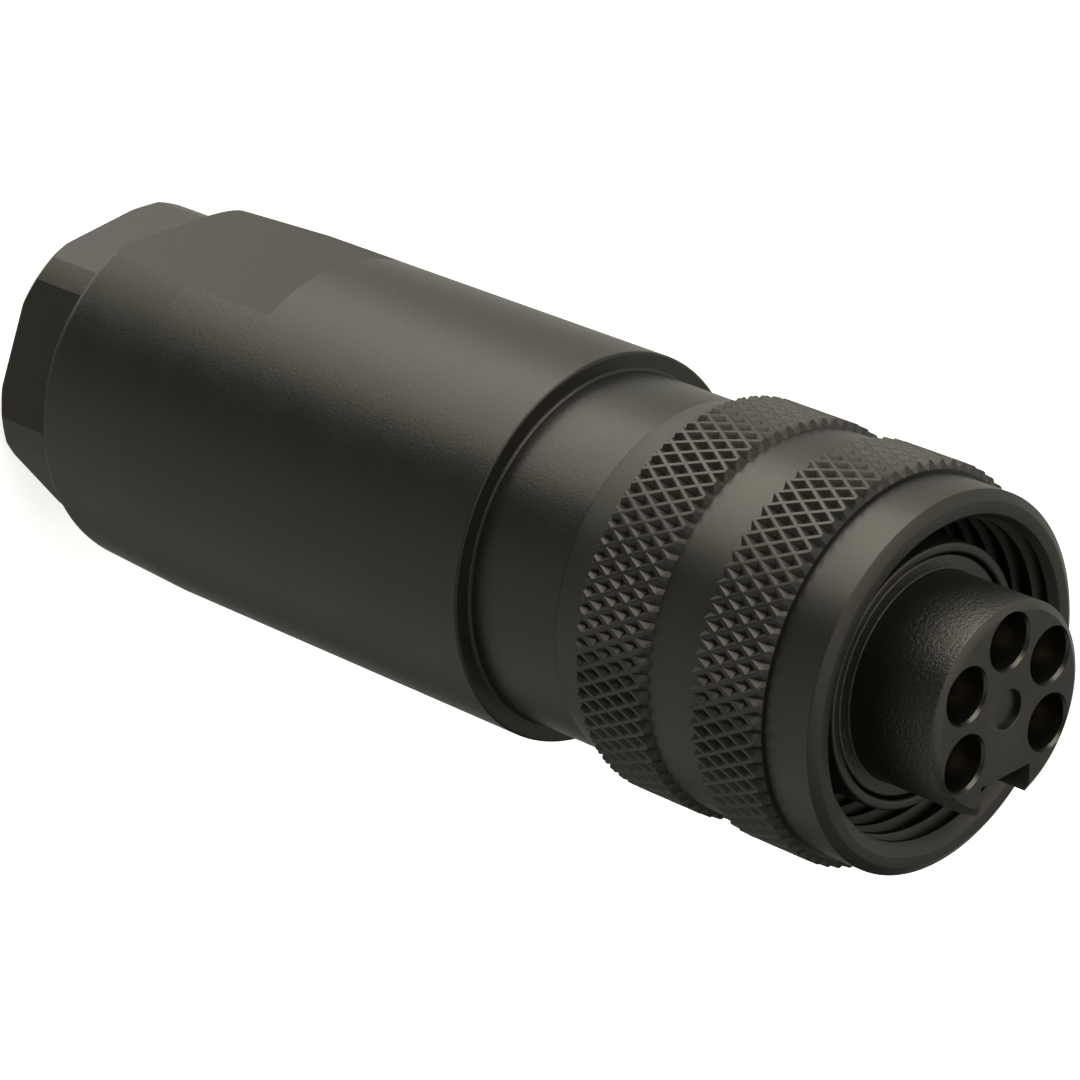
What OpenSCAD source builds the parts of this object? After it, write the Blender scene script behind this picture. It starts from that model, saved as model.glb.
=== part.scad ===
// Round cable connector: a moulded housing, a knurled coupling ring with an inner thread,
// a plug insert with five socket contacts, and a screwed cable clamp with a hexagon nut at the rear.
// Millimetres. The axis is Z: the clamp nut's rear face lies at z = 0 and the mating face looks up +Z.
// The middle contact lies on +X, the key groove on -X, and the wrench flats face +X and -X.

/* [Insert and contacts] */
// Diameter of the circle that the contacts stand on
contact_circle_d = 9; // [8.6:0.01:11.1]
// Angle between two contacts
contact_step = 60; // [58:1:62]
// Diameter of the contact holes
hole_d = 3.61; // [3.2:0.01:3.9]
// Wall of the plug outside the contact holes
plug_wall = 0.53; // [0.4:0.01:1.4]
// How far the plug stands out of the coupling ring
plug_out = 5.21; // [3.5:0.01:7]
// Bevel of the plug's front edge
plug_bevel = 0.42; // [0.2:0.01:0.55]
// Step from the plug out to the collar inside the tube
collar_step = 0.94; // [0.7:0.01:1.65]
// Width of the key groove
key_w = 4.58; // [3.6:0.01:4.7]
// Depth of the key groove
key_depth = 2.39; // [1.7:0.01:2.5]
// Diameter of the sunk moulding mark in the middle
gate_d = 2.57; // [1.9:0.01:2.8]
// Depth of the sunk moulding mark
gate_depth = 0.56; // [0.25:0.01:0.85]
// Thickness of the insert's rear flange
insert_flange_t = 3.47; // [2.1:0.01:5.6]
// Thickness of the carrier plate behind the insert
carrier_t = 1.39; // [1.1:0.01:2.8]
// How far a contact's mouth lies behind the plug's face
contact_back = 3.6; // [1.1:0.01:4.8]
// Clearance on the radius round a contact's barrel
barrel_gap = 0.11; // [0.05:0.01:0.15]
// Diameter of a contact's bore
socket_d = 2.1; // [1.6:0.01:2.3]
// Depth of a contact's bore
socket_l = 9.72; // [6.9:0.01:12.5]
// Width of the slit that makes the barrel springy
slit_w = 0.42; // [0.25:0.01:0.55]
// Length of that slit from the contact's mouth
slit_l = 4.86; // [2.8:0.01:6.3]
// Diameter of a contact's solder tail
tail_pin_d = 2.64; // [2.5:0.01:2.8]
// Length of the solder tail behind the carrier plate
tail_pin_l = 8.33; // [5.5:0.01:11.1]
// Diameter of the solder cup
cup_d = 2.08; // [1.9:0.01:2.2]
// Depth of the solder cup
cup_l = 4.17; // [2.8:0.01:4.9]
// Length of the window in the solder cup's wall
window_l = 2.08; // [1.4:0.01:2.5]
// Distance of that window from the contact's axis
window_off = 0.35; // [0.2:0.01:0.55]

/* [Front sleeve] */
// Wall of the thin tube round the insert
tube_wall = 0.69; // [0.5:0.01:1.1]
// How far the tube's rim lies behind the coupling ring's front
tube_back = 1.25; // [0.7:0.01:2.8]
// Height of the shoulder that stops the insert
stop_step = 0.21; // [0.15:0.01:0.4]
// Step from the tube out to the shank that the coupling ring turns on
shank_step = 0.85; // [0.6:0.01:1.6]
// Step from the shank out to the flange that keeps the coupling ring on
flange_step = 0.65; // [0.4:0.01:1]
// Thickness of the flange
flange_t = 2.42; // [1.7:0.01:2.8]

/* [Coupling ring] */
// Room on the radius between the flange and the thread's root
flange_room = 1.01; // [0.96:0.01:1.4]
// Pitch of the coupling thread
thread_pitch = 1.5875; // [1:0.0125:2]
// How far the bevel at the ring's mouth reaches past the thread's root
mouth_over = 0.28; // [0.1:0.01:0.4]
// Wall from the thread's root to the knurl's ridges
ring_wall = 2.01; // [1.7:0.01:3.5]
// Length of the collar that runs on the front sleeve
collar_l = 4.83; // [3.6:0.01:5.6]
// Length of the run-out between collar and thread
runout_l = 4.72; // [4.2:0.01:5.6]
// Length of the ring's tapered rear end
rear_l = 2.71; // [1.4:0.01:4.2]
// How far the ring's rear edge lies under the knurl's ridges
rear_drop = 1.11; // [0.7:0.01:1.4]
// How far the end of the taper lies under the knurl's ridges
shoulder_drop = 0.28; // [0.2:0.01:0.4]
// Depth of the knurl's sunk diamonds
knurl_depth = 0.47; // [0.25:0.01:0.55]
// Diamonds round the ring
knurl_count = 72; // [48:1:84]
// Half diamonds along a band
knurl_rows = 9; // [5:1:11]
// Length of each knurled band
knurl_l = 5.32; // [4.2:0.01:7]
// How far the plain band between the knurled ones lies under the ridges
groove_drop = 0.53; // [0.4:0.01:0.65]
// Length of the plain band between the knurled ones
groove_l = 4.14; // [2.8:0.01:5.6]
// How far the plain band at the front lies under the ridges
front_drop = 0.81; // [0.7:0.01:1.1]
// Length of the plain band at the front
ring_front_l = 3.6; // [2.8:0.01:4.7]
// Rounding of the ring's front edge
ring_round = 0.35; // [0.15:0.01:0.55]

/* [Housing] */
// How far the straight sleeve stands over the knurl's ridges
sleeve_over = 0.04; // [0:0.01:0.7]
// Length of the straight sleeve
sleeve_l = 32.02; // [27.8:0.01:41.7]
// Length of the tapered tail behind the sleeve
tail_l = 9.03; // [6.9:0.01:12.5]
// How far the tail narrows, on the radius
tail_drop = 0.39; // [0.15:0.01:0.55]
// Rounding of the tail's rear edge
tail_round = 1.11; // [0.6:0.01:1.4]
// Depth of the wrench flats under the sleeve
flat_depth = 1.71; // [1.1:0.01:2]
// Length of the wrench flats from the housing's rear end
flat_l = 16.95; // [12.5:0.01:22.2]
// Wall between the wrench flats and the clamp thread
flat_wall = 1.39; // [1.1:0.01:2.8]
// Step from the sleeve down to the neck, on the radius
neck_step = 1.25; // [0.8:0.01:1.5]
// Length of the neck that the coupling ring runs against
neck_l = 7.58; // [6.2:0.01:9.7]
// Rounding in the corner between sleeve and neck
neck_root = 0.63; // [0.25:0.01:0.75]
// Length of the front bore that takes the front sleeve
front_bore_l = 11.67; // [8.3:0.01:13.9]
// Step from the front bore in to the wire chamber
chamber_step = 0.69; // [0.4:0.01:1.1]
// Thickness of the inner wall that the cable seal and the spacer rest on
web_t = 1.81; // [1.4:0.01:2.8]
// Room on the radius round the cable in that inner wall
web_room = 0.28; // [0.2:0.01:0.4]

/* [Seals] */
// Section of the ring seal on the insert
o_ring_t = 1.06; // [0.8:0.01:1.1]
// Distance of the ring seal behind the tube's rim
o_ring_back = 5.56; // [4.2:0.01:8.3]
// Thickness of the face seal in front of the flange
face_seal_t = 1.67; // [1.1:0.01:2.1]

/* [Cable clamp] */
// Wall between the clamp thread and the cable passage in the nut
nut_wall = 3.82; // [2.8:0.01:4.9]
// Length of the nut's threaded shank
clamp_l = 8.33; // [6.9:0.01:9.7]
// How far the hexagon's flats stand over the clamp thread
nut_rim = 0.49; // [0.35:0.01:1]
// How far the hexagon's turned corners stand over its flats
nut_corner = 1.11; // [0.7:0.01:1.4]
// Length of the nut's hexagon
nut_head_l = 5.63; // [5:0.01:11.1]
// Bevel of the hexagon's rear edge
nut_bevel = 0.69; // [0.4:0.01:1.1]
// Angle of the hexagon's flats from the wrench flats
nut_turn = 8; // [0:1:59]
// Gap between the hexagon and the housing
nut_gap = 0.28; // [0.15:0.01:0.85]
// Rounding of the cable mouth
cable_round = 1.11; // [0.6:0.01:1.7]
// Thickness of the thrust washer
washer_t = 1.11; // [0.7:0.01:1.7]
// Room on the radius round the cable in washer and cage
cage_room = 0.56; // [0.4:0.01:1.1]
// Length of the clamp cage
cage_l = 7.64; // [5.5:0.01:9.7]
// Length of the cage's rim that joins its fingers
cage_rim_l = 1.39; // [1.1:0.01:2.8]
// Fingers round the clamp cage
cage_fingers = 8; // [6:1:10]
// Slit between two fingers
cage_slit = 0.83; // [0.55:0.01:1.1]
// How far the cable seal's hole is narrower than the cable passage, on the radius
seal_grip = 0.56; // [0.25:0.01:1.1]
// Length of the cable seal
seal_l = 6.95; // [5.5:0.01:8.3]

/* [Fits] */
// Running clearance on the radius, and between the faces that turn on each other
run_gap = 0.05; // [0.03:0.01:0.08]
// Clearance on the radius between pieces that are seated in each other
seat_gap = 0.02; // [0.01:0.01:0.04]
// Clearance on the radius round loose inner pieces
loose_gap = 0.14; // [0.1:0.01:0.2]
// Bevel of small edges
edge = 0.2; // [0.15:0.05:0.25]

/* [Hidden] */
$fn = 96;
// A cut runs this far past a face
over = 1;
// Height of a 60 degree thread's flanks, for a pitch of one
flank = 0.5413;
// Contacts left and right of the middle one
contact_side = 2;
contact_count = 2 * contact_side + 1;

// Places along the axis, from the rear
housing_z = nut_head_l + nut_gap;
sleeve_z = housing_z + tail_l;
neck_z = sleeve_z + sleeve_l;
neck_end = neck_z + neck_l;
nut_end = nut_head_l + clamp_l;
washer_end = nut_end + washer_t;
cage_end = washer_end + cage_l;
web_z = cage_end + seal_l;
web_end = web_z + web_t;
front_bore_z = neck_end - front_bore_l;
ring_z = neck_end + run_gap;
collar_end = ring_z + collar_l;
flange_z = collar_end + run_gap;
flange_end = flange_z + flange_t;
ring_end = ring_z + rear_l + 2 * knurl_l + groove_l + ring_front_l;
tube_end = ring_end - tube_back;
plug_end = ring_end + plug_out;
insert_stop_z = flange_end;
insert_z = insert_stop_z - insert_flange_t;
carrier_z = insert_z - carrier_t;
contact_end = plug_end - contact_back;
o_ring_z = tube_end - o_ring_back;

// Radii, outwards from the contacts to the knurl, then the housing that lies level with it
contact_r = contact_circle_d / 2;
hole_r = hole_d / 2;
barrel_d = hole_d - 2 * barrel_gap;
plug_r = contact_r + hole_r + plug_wall;
key_floor = plug_r - key_depth;
insert_r = plug_r + collar_step;
tube_bore_r = insert_r + loose_gap;
tube_r = tube_bore_r + tube_wall;
sleeve_bore_r = tube_bore_r + stop_step;
flange_insert_r = sleeve_bore_r - seat_gap;
o_ring_r = tube_bore_r - seat_gap - o_ring_t / 2;
shank_r = tube_r + shank_step;
flange_r = shank_r + flange_step;
thread_r = flange_r + flange_room;
thread_h = flank * thread_pitch;
thread_crest_r = thread_r - thread_h;
knurl_r = thread_r + ring_wall;
knurl_root_r = knurl_r - knurl_depth;
// The ring is turned down to here under the knurled bands, and the knurl's sleeve reaches deeper
knurl_bed_r = knurl_root_r - edge;
knurl_inner_r = knurl_bed_r - knurl_depth;
ring_rear_r = knurl_r - rear_drop;
shoulder_r = knurl_r - shoulder_drop;
groove_r = knurl_r - groove_drop;
ring_front_r = knurl_r - front_drop;
sleeve_r = knurl_r + sleeve_over;
tail_r = sleeve_r - tail_drop;
neck_r = sleeve_r - neck_step;
chamber_r = shank_r - chamber_step;
flat_r = sleeve_r - flat_depth;
clamp_r = flat_r - flat_wall;
clamp_bore_r = clamp_r + run_gap;
inner_r = clamp_bore_r - loose_gap;
cable_r = clamp_r - nut_wall;
web_bore_r = cable_r + web_room;
cage_bore_r = cable_r + cage_room;
seal_bore_r = cable_r - seal_grip;
nut_flat_r = clamp_r + nut_rim;
nut_corner_r = nut_flat_r + nut_corner;

function ring_points(r, z, n) = [for (i = [0 : n - 1]) [r * cos(360 * i / n), r * sin(360 * i / n), z]];

// Square corner at (x, y) less the circle that rounds it; sx and sy point to the circle's centre
module corner(x, y, sx, sy, r) {
    translate([x, y])
        difference() {
            translate([min(sx, 0) * r, min(sy, 0) * r])
                square(r);
            translate([sx * r, sy * r])
                circle(r);
        }
}

// Flat ring between two radii and two heights
module washer(r_in, r_out, z0, z1) {
    translate([0, 0, z0])
        difference() {
            cylinder(r = r_out, h = z1 - z0);
            translate([0, 0, -over])
                cylinder(r = r_in, h = z1 - z0 + 2 * over);
        }
}

// Round hole from z0 to z1
module bore(r, z0, z1) {
    translate([0, 0, z0])
        cylinder(r = r, h = z1 - z0);
}

// Sleeve with sunk diamonds between two heights: ridges cross at every second point of a lattice
module knurl(z0, z1) {
    n = 2 * knurl_count;
    row_h = (z1 - z0) / knurl_rows;
    function lattice_r(i, j) = (i + j) % 2 == 0 ? knurl_r : knurl_root_r;
    function at(i, j) = j * n + (i + n) % n;
    outer = [for (j = [0 : knurl_rows], i = [0 : n - 1])
        let (r = lattice_r(i, j), a = 360 * i / n) [r * cos(a), r * sin(a), z0 + j * row_h]];
    low = len(outer);
    high = low + n;
    points = concat(outer, ring_points(knurl_inner_r, z0, n), ring_points(knurl_inner_r, z1, n));
    // Each cell of the lattice is folded along the ridge that crosses it
    cells = [for (j = [0 : knurl_rows - 1], i = [0 : n - 1])
        let (a = at(i, j), b = at(i + 1, j), c = at(i + 1, j + 1), d = at(i, j + 1))
        each (i + j) % 2 == 0 ? [[a, c, b], [a, d, c]] : [[a, d, b], [b, d, c]]];
    walls = [for (i = [0 : n - 1])
        let (k = (i + 1) % n)
        each [[low + i, low + k, high + k], [low + i, high + k, high + i],
            [i, k, low + k], [i, low + k, low + i],
            [at(i, knurl_rows), high + k, at(k, knurl_rows)], [at(i, knurl_rows), high + i, high + k]]];
    polyhedron(points = points, faces = concat(cells, walls));
}

// Moulded housing: tapered tail, straight sleeve with wrench flats, and the neck
module housing() {
    color([0.2, 0.2, 0.18])
        difference() {
            rotate_extrude()
                housing_section();
            for (side = [0, 180])
                rotate([0, 0, side])
                    translate([flat_r, -sleeve_r, housing_z - over])
                        cube([sleeve_r, 2 * sleeve_r, flat_l + over]);
        }
}

module housing_section() {
    difference() {
        union() {
            polygon([[0, housing_z], [tail_r, housing_z], [sleeve_r, sleeve_z], [sleeve_r, neck_z - edge],
                [sleeve_r - edge, neck_z], [neck_r, neck_z], [neck_r, neck_end - edge],
                [neck_r - edge, neck_end], [0, neck_end]]);
            corner(neck_r, neck_z, 1, 1, neck_root);
        }
        corner(tail_r, housing_z, -1, 1, tail_round);
        housing_bores();
    }
}

module housing_bores() {
    polygon([[0, housing_z - over], [clamp_bore_r + edge, housing_z - over],
        [clamp_bore_r + edge, housing_z], [clamp_bore_r, housing_z + edge],
        [clamp_bore_r, web_z], [web_bore_r, web_z],
        [web_bore_r, web_end], [chamber_r, web_end], [chamber_r, front_bore_z],
        [shank_r + seat_gap, front_bore_z], [shank_r + seat_gap, neck_end + over], [0, neck_end + over]]);
}

// Turned sleeve: its shank sits in the housing, its flange keeps the coupling ring on
module front_sleeve() {
    color([0.6, 0.6, 0.58])
        rotate_extrude()
            polygon([[sleeve_bore_r, front_bore_z], [shank_r, front_bore_z], [shank_r, flange_z],
                [flange_r, flange_z], [flange_r, flange_end], [tube_r, flange_end],
                [tube_r, tube_end - edge], [tube_r - edge, tube_end], [tube_bore_r + edge, tube_end],
                [tube_bore_r, tube_end - edge], [tube_bore_r, insert_stop_z],
                [sleeve_bore_r, insert_stop_z]]);
}

// Knurled ring with the inner thread
module coupling_ring() {
    band_2 = ring_end - ring_front_l - knurl_l;
    band_1 = band_2 - groove_l - knurl_l;
    color([0.26, 0.26, 0.24]) {
        rotate_extrude()
            ring_section(band_1, band_2);
        knurl(band_1, band_1 + knurl_l);
        knurl(band_2, band_2 + knurl_l);
    }
}

module ring_section(band_1, band_2) {
    difference() {
        polygon([[0, ring_z], [ring_rear_r, ring_z], [shoulder_r, band_1 - edge],
            [shoulder_r - edge, band_1], [knurl_bed_r, band_1], [knurl_bed_r, band_1 + knurl_l],
            [groove_r, band_1 + knurl_l], [groove_r, band_2],
            [knurl_bed_r, band_2], [knurl_bed_r, band_2 + knurl_l],
            [ring_front_r, band_2 + knurl_l], [ring_front_r, ring_end], [0, ring_end]]);
        corner(ring_front_r, ring_end, -1, -1, ring_round);
        polygon([[0, ring_z - over], [shank_r + run_gap, ring_z - over], [shank_r + run_gap, collar_end],
            [thread_r + edge, collar_end], [thread_r + edge, collar_end + runout_l],
            [thread_crest_r, collar_end + runout_l + thread_h + edge], [thread_crest_r, ring_end - thread_h],
            [thread_r + mouth_over, ring_end], [thread_r + mouth_over, ring_end + over],
            [0, ring_end + over]]);
    }
}

// Moulded insert: rear flange, collar inside the tube, and the plug with its holes and key groove
module contact_insert() {
    shoulder_z = tube_end - edge;
    color([0.1, 0.1, 0.1])
        difference() {
            rotate_extrude()
                insert_section(shoulder_z);
            contact_places()
                bore(hole_r, insert_z - over, plug_end + over);
            translate([-plug_r - over, -key_w / 2, shoulder_z])
                cube([plug_r + over - key_floor, key_w, plug_end - shoulder_z + over]);
            bore(gate_d / 2, plug_end - gate_depth, plug_end + over);
        }
}

module insert_section(shoulder_z) {
    difference() {
        polygon([[0, insert_z], [flange_insert_r, insert_z], [flange_insert_r, insert_stop_z],
            [insert_r, insert_stop_z], [insert_r, shoulder_z - edge], [insert_r - edge, shoulder_z],
            [plug_r, shoulder_z], [plug_r, plug_end - plug_bevel], [plug_r - plug_bevel, plug_end],
            [0, plug_end]]);
        translate([o_ring_r - o_ring_t / 2 - seat_gap, o_ring_z - o_ring_t / 2 - seat_gap])
            square([o_ring_t + plug_r, o_ring_t + 2 * seat_gap]);
    }
}

// Ring seal in the insert's groove
module insert_o_ring() {
    color([0.08, 0.08, 0.08])
        rotate_extrude()
            translate([o_ring_r, o_ring_z])
                circle(o_ring_t / 2);
}

// Flat seal that the mating socket's rim presses on
module face_seal() {
    color([0.08, 0.08, 0.08])
        washer(tube_r + seat_gap, flange_r - seat_gap, flange_end, flange_end + face_seal_t);
}

// Puts its children at each contact, turned so that their own +X looks away from the axis
module contact_places() {
    for (k = [1 : contact_count])
        contact_place(k)
            children();
}

module contact_place(k) {
    rotate([0, 0, (k - 1 - contact_side) * contact_step])
        translate([contact_r, 0, 0])
            children();
}

// Plate that locks the contacts behind the insert
module contact_carrier() {
    color([0.1, 0.1, 0.1])
        difference() {
            bore(flange_insert_r, carrier_z, insert_z);
            contact_places()
                bore(tail_pin_d / 2 + seat_gap, carrier_z - over, insert_z + over);
        }
}

// Turned socket contact with a split barrel and an open solder cup
module contact(k) {
    tail_z = carrier_z - tail_pin_l;
    color([0.8, 0.66, 0.35])
        contact_place(k)
            difference() {
                union() {
                    bore(barrel_d / 2, insert_z, contact_end);
                    bore(tail_pin_d / 2, tail_z, insert_z);
                }
                bore(socket_d / 2, contact_end - socket_l, contact_end + over);
                translate([-barrel_d, -slit_w / 2, contact_end - slit_l])
                    cube([2 * barrel_d, slit_w, slit_l + over]);
                bore(cup_d / 2, tail_z - over, tail_z + cup_l);
                translate([window_off, -barrel_d, tail_z - over])
                    cube([barrel_d, 2 * barrel_d, window_l + over]);
            }
}

// One half of the split spacer that holds the insert forward
module spacer_half(turn) {
    color([0.75, 0.74, 0.7])
        rotate([0, 0, turn])
            intersection() {
                washer(web_bore_r, sleeve_bore_r - loose_gap, web_end, carrier_z);
                translate([-sleeve_r, run_gap, web_end - over])
                    cube([2 * sleeve_r, sleeve_r, carrier_z - web_end + 2 * over]);
            }
}

// Rubber seal that closes on the cable's jacket
module cable_seal() {
    color([0.08, 0.08, 0.08])
        rotate_extrude()
            polygon([[seal_bore_r, cage_end + edge], [seal_bore_r + edge, cage_end],
                [inner_r - edge, cage_end], [inner_r, cage_end + edge], [inner_r, web_z],
                [seal_bore_r + edge, web_z], [seal_bore_r, web_z - edge]]);
}

// Slit cage that grips the cable
module clamp_cage() {
    color([0.75, 0.74, 0.7])
        difference() {
            washer(cage_bore_r, inner_r, washer_end, cage_end);
            for (k = [0 : cage_fingers - 1])
                rotate([0, 0, 360 * k / cage_fingers])
                    translate([0, -cage_slit / 2, washer_end + cage_rim_l])
                        cube([sleeve_r, cage_slit, cage_l]);
        }
}

// Washer between the turning nut and the cage
module thrust_washer() {
    color([0.7, 0.7, 0.68])
        washer(cage_bore_r, inner_r, nut_end, washer_end);
}

// Hexagon clamp nut with turned corners and a threaded shank
module clamp_nut() {
    color([0.22, 0.22, 0.2])
        difference() {
            union() {
                intersection() {
                    rotate([0, 0, nut_turn + 30])
                        cylinder(r = nut_flat_r / cos(30), h = nut_head_l, $fn = 6);
                    rotate_extrude()
                        nut_turned_section();
                }
                rotate_extrude()
                    polygon([[0, nut_head_l - edge], [clamp_r - edge, nut_head_l - edge],
                        [clamp_r - edge, housing_z], [clamp_r, housing_z + edge],
                        [clamp_r, nut_end - edge], [clamp_r - edge, nut_end], [0, nut_end]]);
            }
            bore(cable_r, -over, nut_end + over);
            rotate_extrude()
                corner(cable_r, 0, 1, 1, cable_round);
        }
}

module nut_turned_section() {
    polygon([[0, 0], [nut_corner_r - nut_bevel, 0], [nut_corner_r, nut_bevel],
        [nut_corner_r, nut_head_l - edge], [nut_corner_r - edge, nut_head_l], [0, nut_head_l]]);
}

housing();
front_sleeve();
coupling_ring();
contact_insert();
contact_carrier();
insert_o_ring();
face_seal();
for (k = [1 : contact_count])
    contact(k);
spacer_half(0);  // spacer_half_1
spacer_half(180);  // spacer_half_2
cable_seal();
clamp_cage();
thrust_washer();
clamp_nut();
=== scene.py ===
"""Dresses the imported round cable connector: grained housing, knurled ring, plug and clamp nut."""

import math

import bmesh
import bpy
from mathutils import Matrix, Quaternion, Vector


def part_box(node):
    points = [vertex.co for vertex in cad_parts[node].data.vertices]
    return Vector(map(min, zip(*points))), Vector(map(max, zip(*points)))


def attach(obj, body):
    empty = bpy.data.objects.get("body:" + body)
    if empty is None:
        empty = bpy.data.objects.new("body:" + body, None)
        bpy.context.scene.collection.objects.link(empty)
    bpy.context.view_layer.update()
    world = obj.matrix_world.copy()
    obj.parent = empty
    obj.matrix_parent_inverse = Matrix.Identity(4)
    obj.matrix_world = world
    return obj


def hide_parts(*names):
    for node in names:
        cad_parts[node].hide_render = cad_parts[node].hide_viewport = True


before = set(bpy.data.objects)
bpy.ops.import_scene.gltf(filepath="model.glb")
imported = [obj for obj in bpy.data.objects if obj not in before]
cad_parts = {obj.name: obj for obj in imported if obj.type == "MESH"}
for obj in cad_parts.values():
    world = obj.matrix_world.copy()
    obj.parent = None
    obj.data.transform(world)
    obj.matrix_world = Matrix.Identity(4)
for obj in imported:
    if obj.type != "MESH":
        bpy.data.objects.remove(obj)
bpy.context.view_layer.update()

bl_info = {
    "name": "Round Cable Connector",
    "version": (1, 0, 0),
    "blender": (4, 5, 0),
    "location": "View3D > Sidebar > Connector",
    "description": "Makes the visible pieces of a screw-coupled round cable connector",
    "category": "Add Mesh",
}

# Meshes are made in millimetres and scaled at the end; properties are in metres
MM = 0.001
TURN = 2 * math.pi
AXIS = Vector((0, 0, 1))
# Faces round a turned piece, and round a small hole or contact
ROUND_STEPS = 192
SMALL_STEPS = 48
# Faces in a quarter of a rounded edge
CORNER_STEPS = 6
# Points closer than this are one point
WELD = 0.0005
# Edges that bend more than this stay crisp
CRISP = math.radians(22)
# Room that a cutter reaches past the surface it cuts
PAST = 1.0
# Places of the contacts, counted in steps from the middle one
CONTACT_PLACES = range(-2, 3)
# Finishes by slot name, filled when the first piece asks for one
FINISHES = {}


def heights(node):
    """Lowest and highest point of a solid along the axis, in millimetres."""
    low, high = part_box(node)
    return low.z / MM, high.z / MM


def reach(node):
    """How far a round solid reaches from the axis, in millimetres."""
    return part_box(node)[1].x / MM


HOUSING_LOW, HOUSING_HIGH = heights("housing")
RING_LOW = heights("coupling_ring")[0]
TUBE_LOW, TUBE_HIGH = heights("front_sleeve")
INSERT_LOW, INSERT_HIGH = heights("contact_insert")
CONTACT_LOW, CONTACT_HIGH = heights("contact_1")
NUT_LOW, NUT_HIGH = heights("clamp_nut")
SEAL_LOW = heights("face_seal")[0]
O_RING_LOW, O_RING_HIGH = heights("insert_o_ring")
WEB_LOW = heights("cable_seal")[1]
WEB_HIGH = heights("spacer_half_1")[0]


def length(name, millimetres, description):
    """A length property whose default is given in millimetres."""
    return bpy.props.FloatProperty(
        name=name, description=description, default=millimetres * MM, min=0.0,
        precision=5, unit="LENGTH", subtype="DISTANCE")


def turn(name, degrees, description):
    """An angle property whose default is given in degrees."""
    return bpy.props.FloatProperty(
        name=name, description=description, default=math.radians(degrees),
        unit="ROTATION", subtype="ANGLE")


def tint(name, colour, description):
    """A colour property."""
    return bpy.props.FloatVectorProperty(
        name=name, description=description, default=colour, size=3, min=0.0, max=1.0, subtype="COLOR")


class ConnectorHousing(bpy.types.PropertyGroup):
    """Sizes of the moulded housing"""

    sleeve_radius: length("Sleeve radius", reach("housing"), "Outside of the straight sleeve")
    tail_radius: length("Tail radius", 12.775, "Outside of the tail at its rear end")
    tail_round: length("Tail rounding", 1.11, "Rounding of the tail's rear edge")
    taper_end: length("Taper end", 14.94, "Height at which the tail has widened to the sleeve")
    flat_distance: length("Flat distance", 11.455, "Distance of each wrench flat from the axis")
    flat_end: length("Flat end", 22.86, "Height at which the wrench flats end")
    neck_start: length("Neck start", 46.96, "Height at which the sleeve steps down to the neck")
    neck_radius: length("Neck radius", 11.915, "Outside of the neck")
    seam: length("Seam", 0.08, "Rounding of the front edge, next to the ring")
    neck_root: length("Neck root", 0.22, "Fillet between the neck and the sleeve's front face")
    front_bore: length("Front bore", 9.475, "Radius of the bore that takes the front sleeve")
    chamber: length("Chamber", 8.765, "Radius of the bore behind the front sleeve")
    web_bore: length("Web bore", 6.525, "Radius of the hole in the inner web")
    clamp_bore: length("Clamp bore", 10.115, "Radius of the bore that takes the nut's shank")
    edge: length("Edge", 0.2, "Rounding of the small edges")


class ConnectorRing(bpy.types.PropertyGroup):
    """Sizes of the knurled coupling ring"""

    rear_radius: length("Rear radius", 12.015, "Outside at the rear end")
    shoulder_radius: length("Shoulder radius", 12.845, "Outside just behind the first knurled band")
    groove_radius: length("Groove radius", 12.595, "Outside between the two bands")
    front_radius: length("Front radius", 12.34, "Outside in front of the second band")
    rim_height: length("Rim height", 76.13, "Height of the flat rim at the ring's mouth")
    rim_radius: length("Rim radius", 11.7, "Outside of the flat rim")
    rim_bevel: length("Rim bevel", 0.42, "Length of the bevel round the rim")
    bed_radius: length("Bed radius", 12.455, "Radius that the ring is turned to under the bands")
    knurl_radius: length("Knurl radius", 13.125, "Radius of the ridges' tops")
    knurl_depth: length("Knurl depth", 0.46, "Depth of a sunk diamond")
    knurl_row: length("Knurl row", 1.02, "Half the length of a diamond along the axis")
    knurl_count: bpy.props.IntProperty(
        name="Diamonds", description="Number of diamonds round the ring", default=72, min=24)
    ridge_width: length("Ridge width", 0.22, "Width of the flat top of a ridge")
    band_bevel: length("Band bevel", 0.28, "Length of the steep bevel at the front end of a band")
    first_band: length("First band", 57.36, "Height at which the rear band starts")
    first_end: length("First end", 63.06, "Height at which the rear band ends")
    second_band: length("Second band", 66.95, "Height at which the front band starts")
    second_end: length("Second end", 72.3, "Height at which the front band ends")
    first_crossing: length("First crossing", 59.81, "Height at which ridges of the rear band cross")
    second_crossing: length("Second crossing", 70.02, "Height at which ridges of the front band cross")
    first_turn: turn("First turn", 1.88, "Angle at which these ridges of the rear band cross")
    second_turn: turn("Second turn", 2.8, "Angle at which these ridges of the front band cross")
    collar_bore: length("Collar bore", 9.505, "Radius of the collar that turns on the front sleeve")
    collar_end: length("Collar end", 59.42, "Height at which the collar ends inside the ring")
    runout_radius: length("Run-out radius", 11.315, "Radius of the relief behind the thread")
    runout_end: length("Run-out end", 64.14, "Height at which the thread starts")
    thread_root: length("Thread root", 11.115, "Radius at the bottom of the thread's groove")
    thread_crest: length("Thread crest", 10.256, "Radius at the top of the thread's ridge")
    thread_pitch: length("Thread pitch", 1.5875, "Advance of the thread in one turn")
    mouth_radius: length("Mouth radius", 10.9, "Radius of the bevel at the ring's mouth")
    mouth_depth: length("Mouth depth", 0.7, "Length of the bevel at the ring's mouth")
    seam: length("Seam", 0.08, "Rounding of the rear edge, next to the housing")
    edge: length("Edge", 0.2, "Rounding of the small edges")


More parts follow.
